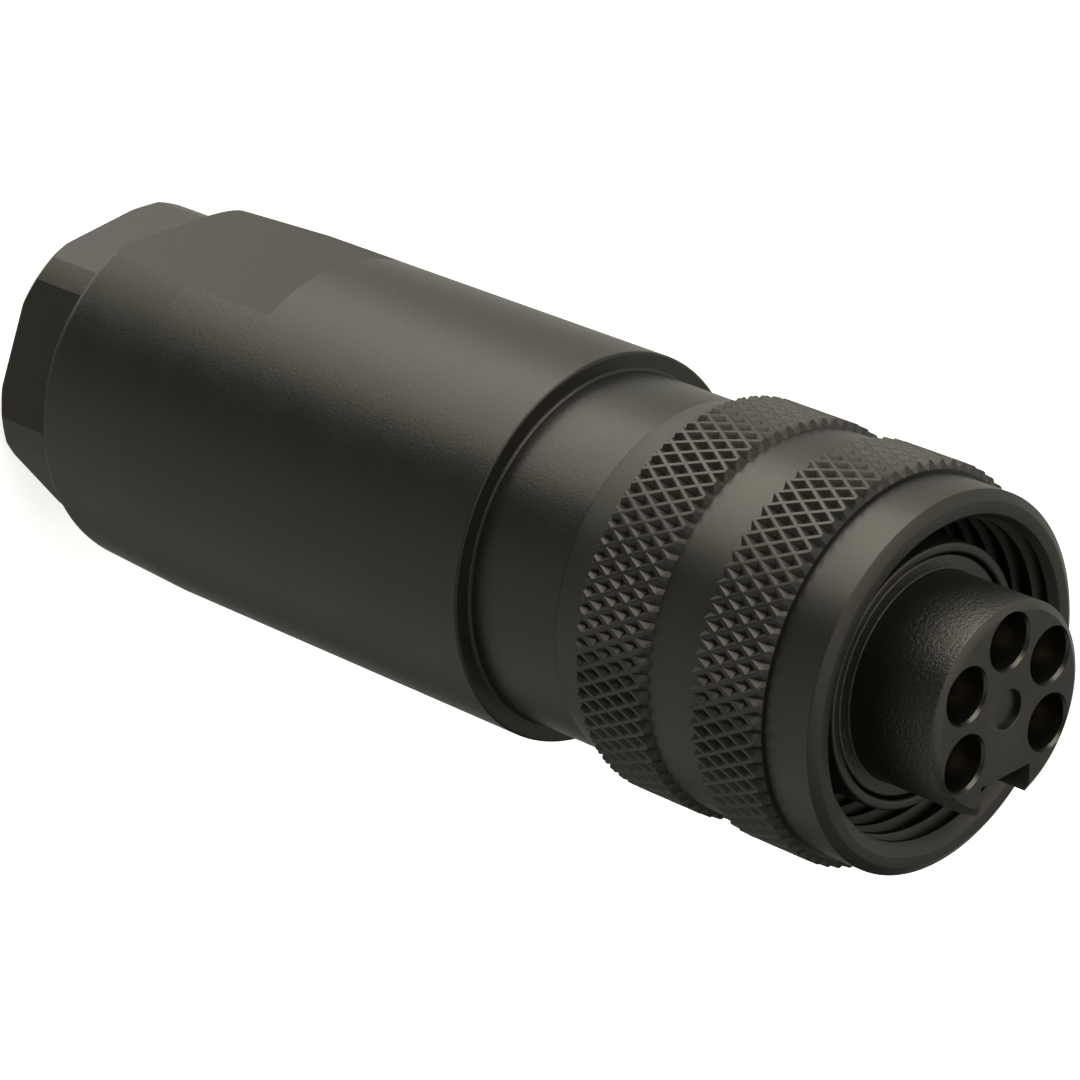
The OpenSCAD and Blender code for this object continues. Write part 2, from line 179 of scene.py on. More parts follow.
class ConnectorFront(bpy.types.PropertyGroup):
    """Sizes of the front sleeve, the insert and the contacts"""

    shank_radius: length("Shank radius", 9.455, "Outside of the sleeve's shank in the housing")
    flange_radius: length("Flange radius", reach("front_sleeve"), "Flange that keeps the ring on")
    flange_start: length("Flange start", 59.47, "Height of the flange's rear face")
    tube_radius: length("Tube radius", 8.605, "Outside of the thin tube")
    tube_bore: length("Tube bore", 7.915, "Inside of the thin tube")
    sleeve_bore: length("Sleeve bore", 8.125, "Inside of the shank")
    insert_radius: length("Insert radius", 7.775, "Collar of the insert inside the tube")
    plug_radius: length("Plug radius", 6.835, "Outside of the plug")
    plug_bevel: length("Plug bevel", 0.5, "Width of the bevel at the plug's face")
    plug_drop: length("Plug drop", 0.3, "Length of the bevel at the plug's face")
    contact_circle: length("Contact circle", 4.5, "Radius of the circle that the contacts stand on")
    contact_step: turn("Contact step", 60, "Angle between two contacts")
    hole_radius: length("Hole radius", 1.805, "Radius of the holes for the contacts")
    hole_edge: length("Hole edge", 0.12, "Width of the lead-in at the mouth of each hole")
    hole_lead: length("Hole lead", 0.24, "Depth of the lead-in at the mouth of each hole")
    key_width: length("Key width", 4.58, "Width of the key groove")
    key_floor: length("Key floor", 4.445, "Distance of the key groove's floor from the axis")
    gate_radius: length("Gate radius", 1.285, "Radius of the sunk moulding mark")
    gate_depth: length("Gate depth", 0.4, "Depth of the sunk moulding mark")
    barrel_radius: length("Barrel radius", 1.695, "Outside of a contact")
    socket_radius: length("Socket radius", 1.05, "Radius of a contact's bore")
    socket_depth: length("Socket depth", 9.72, "Depth of a contact's bore")
    socket_bevel: length("Socket bevel", 0.3, "Bevel that leads a pin into the bore")
    slit_width: length("Slit width", 0.42, "Width of the slit in a contact's barrel")
    slit_length: length("Slit length", 4.86, "Length of the slit in a contact's barrel")
    tail_radius: length("Tail radius", 1.32, "Radius of a contact's rear pin")
    cup_radius: length("Cup radius", 1.04, "Radius of the solder cup")
    cup_depth: length("Cup depth", 4.17, "Depth of the solder cup")
    window_offset: length("Window offset", 0.35, "Distance of the cup's opening from its axis")
    window_length: length("Window length", 2.08, "Length of the cup's opening")
    edge: length("Edge", 0.2, "Rounding of the small edges")


class ConnectorNut(bpy.types.PropertyGroup):
    """Sizes of the hexagon clamp nut"""

    flat_distance: length("Flat distance", 10.555, "Distance of each flat from the axis")
    corner_radius: length("Corner radius", 11.665, "Radius that the corners are turned to")
    bevel: length("Bevel", 0.69, "Bevel at the rear face")
    head_length: length("Head length", 5.63, "Length of the hexagon head")
    first_flat: turn("First flat", 8, "Angle of the first flat")
    cable_bore: length("Cable bore", 6.245, "Radius of the hole for the cable")
    cable_round: length("Cable rounding", 1.11, "Rounding at the hole's mouth")
    thread_crest: length("Thread crest", 10.065, "Radius of the shank's thread")
    thread_root: length("Thread root", 9.3, "Radius at the bottom of the shank's thread")
    thread_pitch: length("Thread pitch", 1.5, "Advance of the shank's thread in one turn")
    edge: length("Edge", 0.2, "Rounding of the small edges")


class ConnectorFinish(bpy.types.PropertyGroup):
    """Colours of the finishes"""

    housing: tint("Housing", (0.0118, 0.0113, 0.0098), "Grained moulding of the housing and the nut")
    ring: tint("Coupling ring", (0.0085, 0.0081, 0.0071), "Satin coating on the turned ring")
    sleeve: tint("Front sleeve", (0.020, 0.019, 0.016), "Satin coating on the turned sleeve")
    insert: tint("Insert", (0.006, 0.0058, 0.005), "Spark-eroded grain of the plug")
    contact: tint("Contacts", (0.83, 0.69, 0.38), "Plating of the contacts")
    rubber: tint("Rubber", (0.020, 0.020, 0.020), "Seals")
    inner: tint("Inner plastic", (0.55, 0.54, 0.50), "Clamp cage and spacer")
    steel: tint("Steel", (0.55, 0.55, 0.54), "Thrust washer")
    gloss: tint("Gloss", (1.0, 0.97, 0.87), "Tint of the highlights on the dark finishes")
    lamp: tint("Lamp", (1.0, 0.975, 0.87), "Light of the panel and the room")
    floor: tint("Floor", (0.86, 0.86, 0.86), "Floor and backdrop")


class Millimetres:
    """Reads the lengths of a group in millimetres."""

    def __init__(self, group):
        self.group = group

    def __getattr__(self, name):
        return getattr(self.group, name) / MM


class Field:
    """A socket of a material, with arithmetic that adds the nodes for it."""

    def __init__(self, shader, socket):
        self.shader = shader
        self.socket = socket

    def math(self, operation, first, second):
        return self.shader.node("ShaderNodeMath", {"operation": operation}, {0: first, 1: second})

    def __add__(self, other):
        return self.math("ADD", self, other)

    def __radd__(self, other):
        return self.math("ADD", other, self)

    def __sub__(self, other):
        return self.math("SUBTRACT", self, other)

    def __rsub__(self, other):
        return self.math("SUBTRACT", other, self)

    def __mul__(self, other):
        return self.math("MULTIPLY", self, other)

    def __rmul__(self, other):
        return self.math("MULTIPLY", other, self)


class Shader:
    """A node tree that is being filled."""

    def __init__(self, tree):
        self.tree = tree
        self.tree.nodes.clear()

    def node(self, kind, settings, sockets, output=0):
        """Adds a node, sets it, fills its sockets and returns one of its outputs."""
        made = self.tree.nodes.new(kind)
        for key, value in settings.items():
            setattr(made, key, value)
        for key, value in sockets.items():
            if isinstance(value, Field):
                self.tree.links.new(value.socket, made.inputs[key])
            else:
                made.inputs[key].default_value = value
        return Field(self, made.outputs[output]) if made.outputs else None

    def place(self, stretch=(1, 1, 1)):
        """Object coordinates in millimetres, stretched along each axis."""
        coords = self.node("ShaderNodeTexCoord", {}, {}, "Object")
        scale = [factor / MM for factor in stretch]
        return self.node("ShaderNodeMapping", {}, {"Vector": coords, "Scale": scale})

    def noise(self, place, size, detail=2.0, roughness=0.5):
        """Smooth noise about one half, with blobs of a size in millimetres."""
        return self.node("ShaderNodeTexNoise", {}, {
            "Vector": place, "Scale": 1 / size, "Detail": detail, "Roughness": roughness}, "Fac")

    def ramp(self, value, start, full, low, high):
        """A smooth rise from one level to another while a value goes from start to full."""
        return self.node("ShaderNodeMapRange", {"interpolation_type": "SMOOTHSTEP"}, {
            "Value": value, "From Min": start, "From Max": full, "To Min": low, "To Max": high})

    def blend(self, factor, first, second):
        """Mixes two colours; the mixing node's colour sockets are known by their places."""
        return self.node("ShaderNodeMix", {"data_type": "RGBA", "clamp_factor": True}, {
            0: factor, 6: (*first, 1), 7: (*second, 1)}, 2)

    def bump(self, height, depth):
        """Relief of a depth in millimetres."""
        return self.node("ShaderNodeBump", {}, {
            "Strength": 1.0, "Distance": depth * MM, "Height": height})

    def finish(self, **sockets):
        """Adds the surface and the output."""
        surface = self.node("ShaderNodeBsdfPrincipled", {}, {
            key.replace("_", " "): value for key, value in sockets.items()})
        self.node("ShaderNodeOutputMaterial", {}, {"Surface": surface})


def shade(colour, factor):
    """A colour made lighter or darker."""
    return tuple(min(1.0, part * factor) for part in colour)


def new_material(name):
    """An empty material and its shader."""
    material = bpy.data.materials.new(name)
    material.use_nodes = True
    return material, Shader(material.node_tree)


def moulded(name, colour, gloss, grain, relief, roughness, plain_within=0.0, gleam=0.5):
    """Moulded plastic with an even grain and faint clouds, plainer within a radius if one is given."""
    material, shader = new_material(name)
    place = shader.place()
    pits = shader.noise(place, grain, 3.0, 0.6)
    fine = shader.noise(place, grain * 0.4, 1.0)
    clouds = shader.noise(place, 3.6, 3.0)
    height = pits * 0.75 + fine * 0.25
    if plain_within:
        # Over this width the grain fades to this share, and the surface grows this much smoother
        fade = 0.3
        left = 0.12
        smoother = 0.1
        flat = shader.place((1, 1, 0))
        across = shader.node("ShaderNodeVectorMath", {"operation": "LENGTH"}, {0: flat}, "Value")
        share = shader.ramp(across, plain_within - fade, plain_within, left, 1.0)
        height = (height - 0.5) * share + 0.5
        roughness = share * smoother + roughness - smoother
    shader.finish(
        Base_Color=shader.blend(clouds * 0.5 + height * 0.5, shade(colour, 0.7), shade(colour, 1.3)),
        Roughness=(height - 0.5) * 0.22 + (clouds - 0.5) * 0.1 + roughness,
        Specular_IOR_Level=gleam,
        Specular_Tint=(*gloss, 1),
        Normal=shader.bump(height, relief))
    return material


def coated(name, colour, gloss, roughness):
    """Satin coating on turned metal: fine turning lines under an even, slightly clouded coat."""
    material, shader = new_material(name)
    place = shader.place()
    lines = shader.noise(shader.place((0.02, 0.02, 1)), 0.07, 2.0)
    grain = shader.noise(place, 0.12, 2.0)
    clouds = shader.noise(place, 2.5, 3.0)
    height = lines * 0.45 + grain * 0.55
    shader.finish(
        Base_Color=shader.blend(clouds * 0.6 + grain * 0.4, shade(colour, 0.75), shade(colour, 1.25)),
        Roughness=(height - 0.5) * 0.2 + (clouds - 0.5) * 0.08 + roughness,
        Specular_IOR_Level=0.65,
        Specular_Tint=(*gloss, 1),
        Normal=shader.bump(height, 0.01))
    return material


def bare_metal(name, colour, roughness):
    """Plated or bare turned metal with fine turning lines and faint tarnish."""
    material, shader = new_material(name)
    place = shader.place()
    lines = shader.noise(shader.place((0.05, 0.05, 1)), 0.04, 2.0)
    tarnish = shader.noise(place, 0.7, 3.0)
    shader.finish(
        Base_Color=shader.blend(tarnish, shade(colour, 0.75), shade(colour, 1.1)),
        Metallic=1.0,
        Roughness=(lines - 0.5) * 0.15 + (tarnish - 0.5) * 0.15 + roughness,
        Normal=shader.bump(lines, 0.003))
    return material


def rubber(name, colour):
    """Dull rubber with a soft bloom and fine specks."""
    material, shader = new_material(name)
    place = shader.place()
    specks = shader.noise(place, 0.12, 2.0)
    bloom = shader.noise(place, 1.5, 3.0)
    shader.finish(
        Base_Color=shader.blend(bloom * 0.7 + specks * 0.3, shade(colour, 0.7), shade(colour, 1.5)),
        Roughness=(bloom - 0.5) * 0.2 + 0.68,
        Normal=shader.bump(specks, 0.006))
    return material


def make_finishes(colours):
    """Makes the finish of each slot of the record."""
    gloss = colours.gloss
    return {
        "housing_plastic": moulded("housing grain", colours.housing, gloss, 0.17, 0.02, 0.33),
        "nut_plastic": moulded("nut grain", colours.housing, gloss, 0.17, 0.02, 0.33),
        "insert_plastic": moulded("insert grain", colours.insert, gloss, 0.25, 0.07, 0.38, 6.7, 0.85),
        "inner_plastic": moulded("inner plastic", colours.inner, (1, 1, 1), 0.28, 0.008, 0.5),
        "ring_metal": coated("ring coating", colours.ring, gloss, 0.39),
        "sleeve_metal": coated("sleeve coating", colours.sleeve, gloss, 0.36),
        "contact_metal": bare_metal("contact plating", colours.contact, 0.28),
        "washer_steel": bare_metal("washer steel", colours.steel, 0.34),
        "rubber": rubber("seal rubber", colours.rubber),
    }


def finishes():
    """Finishes by slot name, made once."""
    if not FINISHES:
        FINISHES.update(make_finishes(bpy.context.scene.connector_finish))
    return FINISHES


def rounded(points):
    """Closed outline through (radius, height, rounding) points, with an arc at each rounded corner."""
    outline = []
    count = len(points)
    for k, (r, z, rounding) in enumerate(points):
        corner = Vector((r, z))
        if not rounding:
            outline.append(corner)
            continue
        before = (Vector(points[k - 1][:2]) - corner).normalized()
        after = (Vector(points[(k + 1) % count][:2]) - corner).normalized()
        half = before.angle(after) / 2
        centre = corner + (before + after).normalized() * (rounding / math.sin(half))
        start = corner + before * (rounding / math.tan(half)) - centre
        sweep = start.angle_signed(corner + after * (rounding / math.tan(half)) - centre)
        steps = max(2, round(abs(sweep) / (math.pi / 2) * CORNER_STEPS))
        for step in range(steps + 1):
            angle = -sweep * step / steps
            outline.append(centre + Matrix.Rotation(angle, 2) @ start)
    return outline


def lathe(bm, outline, steps=ROUND_STEPS):
    """Turns a closed outline of (radius, height) once round the axis."""
    verts = [bm.verts.new((r, 0, z)) for r, z in outline]
    edges = [bm.edges.new((verts[k - 1], vert)) for k, vert in enumerate(verts)]
    bmesh.ops.spin(bm, geom=verts + edges, axis=AXIS, cent=(0, 0, 0), angle=TURN, steps=steps,
                   use_merge=True)
    bmesh.ops.remove_doubles(bm, verts=bm.verts, dist=WELD)
    bmesh.ops.dissolve_degenerate(bm, edges=bm.edges, dist=WELD)
    bmesh.ops.recalc_face_normals(bm, faces=bm.faces)


def block(bm, low, high):
    """A box between two corners, for cutting."""
    low, high = Vector(low), Vector(high)
    sizes = Matrix.Diagonal((*(high - low), 1))
    made = bmesh.ops.create_cube(bm, size=1, matrix=Matrix.Translation((low + high) / 2) @ sizes)
    return made["verts"]


def loose_object(name, bm):
    """A short-lived object that holds a mesh while a modifier works on it."""
    mesh = bpy.data.meshes.new(name)
    bm.to_mesh(mesh)
    made = bpy.data.objects.new(name, mesh)
    bpy.context.scene.collection.objects.link(made)
    return made


def carve(bm, cutter, operation="DIFFERENCE"):
    """Cuts a piece with a closed shape, or keeps only what both share."""
    bmesh.ops.recalc_face_normals(cutter, faces=cutter.faces)
    body = loose_object("carved", bm)
    tool = loose_object("cutter", cutter)
    cutter.free()
    modifier = body.modifiers.new("carve", "BOOLEAN")
    modifier.operation = operation
    modifier.object = tool
    modifier.solver = "EXACT"
    result = bpy.data.meshes.new_from_object(body.evaluated_get(bpy.context.evaluated_depsgraph_get()))
    bm.clear()
    bm.from_mesh(result)
    meshes = [body.data, tool.data, result]
    for made in (body, tool):
        bpy.data.objects.remove(made)
    for mesh in meshes:
        bpy.data.meshes.remove(mesh)
    if not bm.faces:
        raise RuntimeError("a cut left nothing of the piece")
    bmesh.ops.remove_doubles(bm, verts=bm.verts, dist=WELD)
    bmesh.ops.dissolve_degenerate(bm, edges=bm.edges, dist=WELD)


def helix(bm, outline, pitch, turns, steps, root=None):
    """Winds a closed outline up the axis; with a root radius, both ends run out into the wall there."""
    verts = [bm.verts.new((r, 0, z)) for r, z in outline]
    edges = [bm.edges.new((verts[k - 1], vert)) for k, vert in enumerate(verts)]
    bm.faces.new(verts)
    total = round(turns * steps)
    swept = bmesh.ops.spin(bm, geom=verts + edges, axis=AXIS, cent=(0, 0, 0), angle=TURN * total / steps,
                           dvec=(0, 0, pitch / steps), steps=total)
    bmesh.ops.contextual_create(bm, geom=[item for item in swept["geom_last"]
                                          if isinstance(item, bmesh.types.BMEdge)])
    if root:
        # The ridge sinks into the wall over a quarter of a turn at each end
        fade = steps // 4
        for k, vert in enumerate(bm.verts):
            step = k // len(outline)
            share = min(1.0, step / fade, (total - step) / fade)
            to_radius(vert, root + (math.hypot(vert.co.x, vert.co.y) - root) * share)
    bmesh.ops.recalc_face_normals(bm, faces=bm.faces)


def to_radius(vert, radius):
    """Moves a point level with itself to a distance from the axis."""
    factor = radius / math.hypot(vert.co.x, vert.co.y)
    vert.co.x *= factor
    vert.co.y *= factor


def to_contact(bm, group, place):
    """Moves a mesh from the axis to the place of one contact."""
    outwards = Matrix.Translation((group.contact_circle / MM, 0, 0))
    moved = Matrix.Rotation(place * group.contact_step, 4, "Z") @ outwards
    bmesh.ops.transform(bm, matrix=moved, verts=bm.verts)


def join(bm, other):
    """Adds another mesh to a piece as a shell of its own."""
    mesh = bpy.data.meshes.new("joined")
    other.to_mesh(mesh)
    other.free()
    bm.from_mesh(mesh)
    bpy.data.meshes.remove(mesh)


def finish_piece(bm, name, body, slot, *nodes):
    """Makes the object of a piece with its finish; it rides on its body in place of its solids."""
    bmesh.ops.scale(bm, vec=(MM, MM, MM), verts=bm.verts)
    mesh = bpy.data.meshes.new(name)
    bm.to_mesh(mesh)
    open_edges = sum(not edge.is_manifold for edge in bm.edges)
    bm.free()
    if open_edges:
        print(name, "has", open_edges, "open edges")
    mesh.shade_smooth()
    mesh.set_sharp_from_angle(angle=CRISP)
    mesh.materials.append(finishes()[slot])
    piece = bpy.data.objects.new(name, mesh)
    bpy.context.scene.collection.objects.link(piece)
    weighted = piece.modifiers.new("even shading", "WEIGHTED_NORMAL")
    weighted.keep_sharp = True
    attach(piece, body)
    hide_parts(*nodes)


def knurl(sizes, count, low, high, crossing, turned):
    """One band of crossing flat-topped ridges between sunk diamonds, as a closed sleeve."""
    bm = bmesh.new()
    half_turn = TURN / (2 * count)
    row = sizes.knurl_row
    # How far the front bevel falls for its length, and how far the edges of a ridge are broken
    steep = 1.9
    broken = sizes.ridge_width * 0.22

    def point(column, line):
        angle = turned + column * half_turn
        return (sizes.knurl_radius * math.cos(angle), sizes.knurl_radius * math.sin(angle),
                crossing + line * row)

    # Diamonds stand on every second point of a lattice; two columns of them repeat round the ring
    lines = range(math.floor((low - crossing) / row), math.ceil((high - crossing) / row) + 1)
    for column in (0, 1):
        for line in lines:
            if (column + line) % 2:
                corners = [(column - 1, line), (column, line - 1), (column + 1, line), (column, line + 1)]
                bm.faces.new([bm.verts.new(point(*corner)) for corner in corners])
    bmesh.ops.spin(bm, geom=bm.verts[:] + bm.edges[:] + bm.faces[:], axis=AXIS, cent=(0, 0, 0),
                   angle=TURN * (count - 1) / count, steps=count - 1, use_duplicate=True)
    bmesh.ops.remove_doubles(bm, verts=bm.verts, dist=WELD)
    bmesh.ops.recalc_face_normals(bm, faces=bm.faces)
    pits = bm.faces[:]
    bmesh.ops.inset_individual(bm, faces=pits, thickness=sizes.ridge_width / 2, use_even_offset=True)
    rims = list({edge for pit in pits for edge in pit.edges})
    bmesh.ops.poke(bm, faces=pits, offset=-sizes.knurl_depth, center_mode="MEAN")
    bmesh.ops.bevel(bm, geom=rims, offset=broken, offset_type="OFFSET", segments=2, profile=0.5,
                    affect="EDGES", material=-1)
    # Both ends are cut off, then the front one is bevelled from a cut that leaves both sides standing
    bevel = high - sizes.band_bevel
    for height, clear in ((low, {"clear_inner": True}), (high, {"clear_outer": True}), (bevel, {})):
        bmesh.ops.bisect_plane(bm, geom=bm.verts[:] + bm.edges[:] + bm.faces[:], dist=WELD,
                               plane_co=(0, 0, height), plane_no=AXIS, **clear)
    for vert in bm.verts:
        drop = max(0.0, vert.co.z - bevel) * steep
        to_radius(vert, min(math.hypot(vert.co.x, vert.co.y), sizes.knurl_radius - drop))
    # The two ends are closed down to a wall that lies inside the ring
    border = [edge for edge in bm.edges if edge.is_boundary]
    walls = bmesh.ops.extrude_edge_only(bm, edges=border)["geom"]
    for vert in (item for item in walls if isinstance(item, bmesh.types.BMVert)):
        to_radius(vert, sizes.bed_radius - sizes.edge)
    bmesh.ops.bridge_loops(bm, edges=[edge for edge in bm.edges if edge.is_boundary])
    bmesh.ops.recalc_face_normals(bm, faces=bm.faces)
    return bm


class CONNECTOR_OT_housing(bpy.types.Operator):
    """Makes the moulded housing with its tapered tail, wrench flats and neck"""

    bl_idname = "connector.housing"
    bl_label = "Housing"

    def execute(self, context):
        s = Millimetres(context.scene.connector_housing)
        # The crease at the end of the taper is barely rounded
        crease = 1.5
        bm = bmesh.new()
        lathe(bm, rounded([
            (s.clamp_bore, HOUSING_LOW, s.edge),
            (s.tail_radius, HOUSING_LOW, s.tail_round),
            (s.sleeve_radius, s.taper_end, crease),
            (s.sleeve_radius, s.neck_start, s.edge),
            (s.neck_radius, s.neck_start, s.neck_root),
            (s.neck_radius, HOUSING_HIGH, s.seam),
            (s.front_bore, HOUSING_HIGH, s.edge),
            (s.front_bore, TUBE_LOW, 0),
            (s.chamber, TUBE_LOW, 0),
            (s.chamber, WEB_HIGH, 0),
            (s.web_bore, WEB_HIGH, s.edge),
            (s.web_bore, WEB_LOW, s.edge),
            (s.clamp_bore, WEB_LOW, 0),
        ]))
        cutter = bmesh.new()
        wide = 2 * s.sleeve_radius
        for side in (-1, 1):
            ends = sorted((side * s.flat_distance, side * wide))
            block(cutter, (ends[0], -wide, HOUSING_LOW - PAST), (ends[1], wide, s.flat_end))
        carve(bm, cutter)
        finish_piece(bm, "housing_moulding", "housing", "housing_plastic", "housing")
        return {"FINISHED"}


class CONNECTOR_OT_coupling_ring(bpy.types.Operator):
    """Makes the coupling ring with its two knurled bands and its inner thread"""

    bl_idname = "connector.coupling_ring"
    bl_label = "Coupling Ring"

    def execute(self, context):
        group = context.scene.connector_ring
        s = Millimetres(group)
        # The turned body ends just inside the bands, so that no two faces lie in one plane
        sunk = 0.05
        # Roundings of the two edges of the rim's bevel, and of the mouth's edge
        rim_round = 0.12
        mouth_round = 0.08
        bm = bmesh.new()
        lathe(bm, rounded([
            (s.collar_bore, RING_LOW, s.edge),
            (s.rear_radius, RING_LOW, s.seam),
            (s.shoulder_radius, s.first_band + sunk, 0),
            (s.bed_radius, s.first_band + sunk, 0),
            (s.bed_radius, s.first_end - sunk, 0),
            (s.groove_radius, s.first_end - sunk, 0),
            (s.groove_radius, s.second_band + sunk, 0),
            (s.bed_radius, s.second_band + sunk, 0),
            (s.bed_radius, s.second_end - sunk, 0),
            (s.front_radius, s.second_end - sunk, 0),
            (s.front_radius, s.rim_height - s.rim_bevel, rim_round),
            (s.rim_radius, s.rim_height, rim_round),
            (s.mouth_radius, s.rim_height, mouth_round),
            (s.thread_crest, s.rim_height - s.mouth_depth, 0),
            (s.thread_crest, s.runout_end, 0),
            (s.runout_radius, s.runout_end - s.edge, 0),
            (s.runout_radius, s.collar_end, 0),
            (s.collar_bore, s.collar_end, s.edge),
        ]))
        carve(bm, self.thread_groove(s))
        for band in ((s.first_band, s.first_end, s.first_crossing, group.first_turn),
                     (s.second_band, s.second_end, s.second_crossing, group.second_turn)):
            join(bm, knurl(s, group.knurl_count, *band))
        finish_piece(bm, "coupling_ring_turned", "coupling_ring", "ring_metal", "coupling_ring")
        return {"FINISHED"}

    def thread_groove(self, s):
        """The winding groove between the ridges of the inner thread, out past the mouth."""
        # How far it reaches inside the crests, and how much of a pitch below the run-out's end it starts
        inwards = 0.3
        early = 0.88
        # Flanks of 60 degrees and a narrow flat floor
        flank = math.tan(math.radians(30))
        floor = s.thread_pitch / 16
        bm = bmesh.new()
        inside = s.thread_crest - inwards
        mouth = floor + (s.thread_root - inside) * flank
        low = s.runout_end - s.thread_pitch * early
        outline = [(inside, low - mouth), (s.thread_root, low - floor),
                   (s.thread_root, low + floor), (inside, low + mouth)]
        turns = (s.rim_height + s.thread_pitch - low) / s.thread_pitch
        helix(bm, outline, s.thread_pitch, turns, ROUND_STEPS // 2)
        return bm


class CONNECTOR_OT_front_sleeve(bpy.types.Operator):
    """Makes the turned sleeve whose thin tube stands round the plug"""

    bl_idname = "connector.front_sleeve"
    bl_label = "Front Sleeve"

    def execute(self, context):
        s = Millimetres(context.scene.connector_front)
        bm = bmesh.new()
        lathe(bm, rounded([
            (s.sleeve_bore, TUBE_LOW, s.edge),
            (s.shank_radius, TUBE_LOW, s.edge),
            (s.shank_radius, s.flange_start, 0),
            (s.flange_radius, s.flange_start, s.edge),
            (s.flange_radius, SEAL_LOW, s.edge),
            (s.tube_radius, SEAL_LOW, 0),
            (s.tube_radius, TUBE_HIGH, s.edge),
            (s.tube_bore, TUBE_HIGH, s.edge),
            (s.tube_bore, SEAL_LOW, 0),
            (s.sleeve_bore, SEAL_LOW, 0),
        ]))
        finish_piece(bm, "front_sleeve_turned", "housing", "sleeve_metal", "front_sleeve")
        return {"FINISHED"}


class CONNECTOR_OT_contact_insert(bpy.types.Operator):
    """Makes the moulded plug with its five holes, key groove and sunk moulding mark"""

    bl_idname = "connector.contact_insert"
    bl_label = "Contact Insert"

    def execute(self, context):
        group = context.scene.connector_front
        s = Millimetres(group)
        flange = reach("contact_carrier")
        shoulder = TUBE_HIGH - s.edge
        # Room round the ring seal, and roundings at the plug's root, face and moulding mark
        seat = 0.02
        root_round = 0.1
        face_round = 0.12
        mark_round = 0.06
        groove = reach("insert_o_ring") - (O_RING_HIGH - O_RING_LOW) - seat
        # The outline leaves a hole as wide as the moulding mark, closed behind the mark afterwards
        bm = bmesh.new()
        core = s.gate_radius
        floor = INSERT_HIGH - s.gate_depth
        outline = rounded([
            (core, INSERT_LOW, 0),
            (flange, INSERT_LOW, s.edge),
            (flange, SEAL_LOW, 0),
            (s.insert_radius, SEAL_LOW, 0),
            (s.insert_radius, O_RING_LOW - seat, 0),
            (groove, O_RING_LOW - seat, 0),
            (groove, O_RING_HIGH + seat, 0),
            (s.insert_radius, O_RING_HIGH + seat, 0),
            (s.insert_radius, shoulder, s.edge),
            (s.plug_radius, shoulder, root_round),
            (s.plug_radius, INSERT_HIGH - s.plug_drop, face_round),
            (s.plug_radius - s.plug_bevel, INSERT_HIGH, face_round),
            (core, INSERT_HIGH, mark_round),
            (core, floor, 0),
        ])
        lathe(bm, outline)
        self.fill_core(bm, core, floor)
        cutter = bmesh.new()
        mouth = s.hole_radius + s.hole_edge
        for place in CONTACT_PLACES:
            hole = bmesh.new()
            lathe(hole, [Vector(p) for p in (
                (0, INSERT_LOW - PAST), (s.hole_radius, INSERT_LOW - PAST),
                (s.hole_radius, INSERT_HIGH - s.hole_lead), (mouth, INSERT_HIGH),
                (mouth, INSERT_HIGH + PAST), (0, INSERT_HIGH + PAST))], SMALL_STEPS)
            to_contact(hole, group, place)
            join(cutter, hole)
        block(cutter, (-s.plug_radius - PAST, -s.key_width / 2, shoulder),
              (-s.key_floor, s.key_width / 2, INSERT_HIGH + PAST))
        carve(bm, cutter)
        finish_piece(bm, "contact_insert_moulding", "housing", "insert_plastic", "contact_insert")
        return {"FINISHED"}

    def fill_core(self, bm, core, floor):
        """Takes out the wall on the axis and closes the rear face and the mark's floor."""
        wall = [face for face in bm.faces if all(
            math.hypot(v.co.x, v.co.y) < core + WELD and (v.co.z < floor + WELD) for v in face.verts)]
        bmesh.ops.delete(bm, geom=wall, context="FACES_ONLY")
        bmesh.ops.delete(bm, geom=[e for e in bm.edges if not e.link_faces], context="EDGES")
        bmesh.ops.holes_fill(bm, edges=[e for e in bm.edges if e.is_boundary], sides=0)
        bmesh.ops.recalc_face_normals(bm, faces=bm.faces)


class CONNECTOR_OT_contacts(bpy.types.Operator):
    """Makes the five turned socket contacts with slit barrels and solder cups"""

    bl_idname = "connector.contacts"
    bl_label = "Contacts"

    def execute(self, context):
        group = context.scene.connector_front
        s = Millimetres(group)
        # Roundings of the barrel's edges and of the cup's rim
        fine = 0.06
        cup_round = 0.04
        cup_end = CONTACT_LOW + s.cup_depth
        socket_end = CONTACT_HIGH - s.socket_depth
        # Both bores end in a blunt drill point on the axis
        socket_point = socket_end - s.socket_radius * 0.5
        cup_point = cup_end + s.cup_radius * 0.4
        for number, place in enumerate(CONTACT_PLACES, 1):
            bm = bmesh.new()
            lathe(bm, rounded([
                (s.cup_radius, CONTACT_LOW, cup_round),
                (s.tail_radius, CONTACT_LOW, cup_round),
                (s.tail_radius, INSERT_LOW, 0),
                (s.barrel_radius, INSERT_LOW, fine),
                (s.barrel_radius, CONTACT_HIGH, fine),
                (s.socket_radius + s.socket_bevel, CONTACT_HIGH, fine),
                (s.socket_radius, CONTACT_HIGH - s.socket_bevel, fine),
                (s.socket_radius, socket_end, 0),
                (0, socket_point, 0),
                (0, cup_point, 0),
                (s.cup_radius, cup_end, 0),
            ]), SMALL_STEPS)
            cutter = bmesh.new()
            wide = 2 * s.barrel_radius
            block(cutter, (-wide, -s.slit_width / 2, CONTACT_HIGH - s.slit_length),
                  (wide, s.slit_width / 2, CONTACT_HIGH + PAST))
            block(cutter, (s.window_offset, -wide, CONTACT_LOW - PAST),
                  (wide, wide, CONTACT_LOW + s.window_length))
            carve(bm, cutter)
            to_contact(bm, group, place)
            node = f"contact_{number}"
            finish_piece(bm, node + "_turned", "housing", "contact_metal", node)
        return {"FINISHED"}


